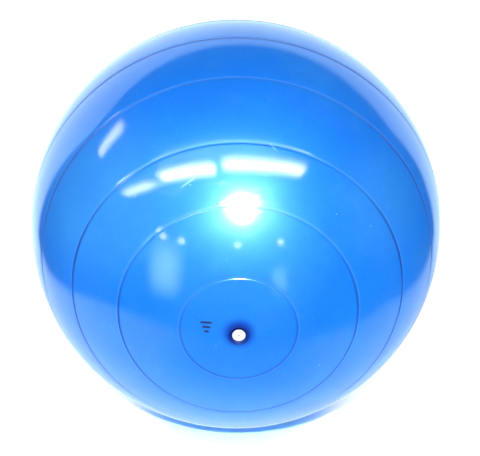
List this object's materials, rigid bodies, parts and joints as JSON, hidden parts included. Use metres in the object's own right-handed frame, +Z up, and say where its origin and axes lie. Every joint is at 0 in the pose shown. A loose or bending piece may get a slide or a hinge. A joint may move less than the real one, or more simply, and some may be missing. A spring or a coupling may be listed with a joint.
{
  "type": "exercise ball",
  "caption": "Inflated blue exercise ball with concentric grip rings, a recessed valve seat and a white push-in plug.",
  "frame": {"origin": "centre of the small flat where the ball rests on the floor", "axes": "+Z up from the floor; the valve axis is horizontal and the valve faces -Y; the ball is symmetric in X"},
  "size_m": [0.6504, 0.6498, 0.6482],
  "materials": {
    "ball_pvc": "glossy translucent blue PVC",
    "seat_pvc": "soft blue PVC, thicker and darker than the ball's wall",
    "plug_plastic": "white moulded polyethylene, satin"
  },
  "bodies": {
    "ball": {"ball_shell": "ball_pvc", "valve_seat": "seat_pvc"},
    "plug": {"valve_plug": "plug_plastic"}
  },
  "joints": [
    {"name": "plug_pull", "type": "slide", "parent": "ball", "child": "plug", "axis": [0, -1, 0], "range_m": [0, 0.036]}
  ]
}
